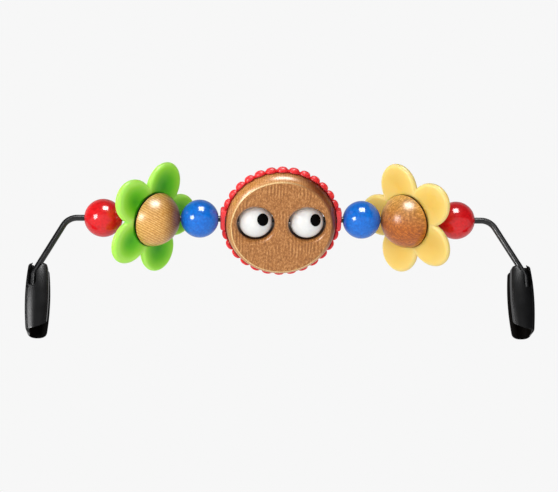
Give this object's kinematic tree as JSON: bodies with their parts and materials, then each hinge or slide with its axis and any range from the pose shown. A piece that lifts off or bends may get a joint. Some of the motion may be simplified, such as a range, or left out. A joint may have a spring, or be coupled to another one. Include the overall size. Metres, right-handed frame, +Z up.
{
  "type": "bouncer toy bar",
  "caption": "Toy bar for a baby bouncer: bent wire with snap clips, carrying painted beads, petalled flowers and a round wooden face with ball eyes that all spin on the wire.",
  "frame": {"origin": "midway between the two clips' tube channels, at half the clips' length", "axes": "+X along the bar from the green flower to the yellow one, +Z up along the side tubes that the clips grip, -Y towards the child"},
  "size_m": [0.3936, 0.0778, 0.1342],
  "materials": {
    "coated_steel": "black coating, satin",
    "clip_plastic": "black moulded plastic, satin",
    "red_paint": "wood with glossy red paint",
    "blue_paint": "wood with glossy blue paint",
    "ball_wood": "light wood, clear satin lacquer",
    "face_wood": "brown wood, clear satin lacquer",
    "dowel_wood": "plain beech",
    "green_plastic": "soft green plastic, waxy gloss",
    "yellow_plastic": "soft yellow plastic, waxy gloss",
    "red_plastic": "soft red plastic, satin",
    "white_paint": "wood with glossy white paint",
    "black_paint": "black, glossy"
  },
  "bodies": {
    "frame": {"wire": "coated_steel", "clip_left": "clip_plastic", "clip_right": "clip_plastic"},
    "bead_red_left": {"bead_red_left": "red_paint"},
    "bead_red_right": {"bead_red_right": "red_paint"},
    "bead_blue_left": {"bead_blue_left": "blue_paint"},
    "bead_blue_right": {"bead_blue_right": "blue_paint"},
    "flower_green": {"flower_green_ball_front": "ball_wood", "flower_green_ball_back": "ball_wood", "flower_green_petals": "green_plastic", "flower_green_dowel_upper": "dowel_wood", "flower_green_dowel_lower": "dowel_wood"},
    "flower_yellow": {"flower_yellow_ball_front": "ball_wood", "flower_yellow_ball_back": "ball_wood", "flower_yellow_petals": "yellow_plastic", "flower_yellow_dowel_upper": "dowel_wood", "flower_yellow_dowel_lower": "dowel_wood"},
    "face": {"face_front": "face_wood", "face_back": "face_wood", "face_ring": "red_plastic", "face_dowel_upper": "dowel_wood", "face_dowel_lower": "dowel_wood"},
    "eye_left": {"eye_left_ball": "white_paint", "pupil_left": "black_paint"},
    "eye_right": {"eye_right_ball": "white_paint", "pupil_right": "black_paint"}
  },
  "joints": [
    {"name": "bead_red_left_spin", "type": "hinge", "parent": "frame", "child": "bead_red_left", "pos_m": [-0.1392, -0.0093, 0.0664], "axis": [1, 0, 0], "continuous": true},
    {"name": "bead_red_right_spin", "type": "hinge", "parent": "frame", "child": "bead_red_right", "pos_m": [0.1392, -0.0093, 0.0664], "axis": [1, 0, 0], "continuous": true},
    {"name": "bead_blue_left_spin", "type": "hinge", "parent": "frame", "child": "bead_blue_left", "pos_m": [-0.0639, -0.0093, 0.0664], "axis": [1, 0, 0], "continuous": true},
    {"name": "bead_blue_right_spin", "type": "hinge", "parent": "frame", "child": "bead_blue_right", "pos_m": [0.0639, -0.0093, 0.0664], "axis": [1, 0, 0], "continuous": true},
    {"name": "flower_green_spin", "type": "hinge", "parent": "frame", "child": "flower_green", "pos_m": [-0.101, -0.0093, 0.0664], "axis": [1, 0, 0], "continuous": true},
    {"name": "flower_yellow_spin", "type": "hinge", "parent": "frame", "child": "flower_yellow", "pos_m": [0.101, -0.0093, 0.0664], "axis": [1, 0, 0], "continuous": true},
    {"name": "face_spin", "type": "hinge", "parent": "frame", "child": "face", "pos_m": [0, -0.0093, 0.0664], "axis": [1, 0, 0], "continuous": true},
    {"name": "eye_left_spin", "type": "hinge", "parent": "frame", "child": "eye_left", "pos_m": [-0.0202, -0.0093, 0.0656], "axis": [1, 0, 0], "continuous": true},
    {"name": "eye_right_spin", "type": "hinge", "parent": "frame", "child": "eye_right", "pos_m": [0.0202, -0.0093, 0.0656], "axis": [1, 0, 0], "continuous": true}
  ]
}
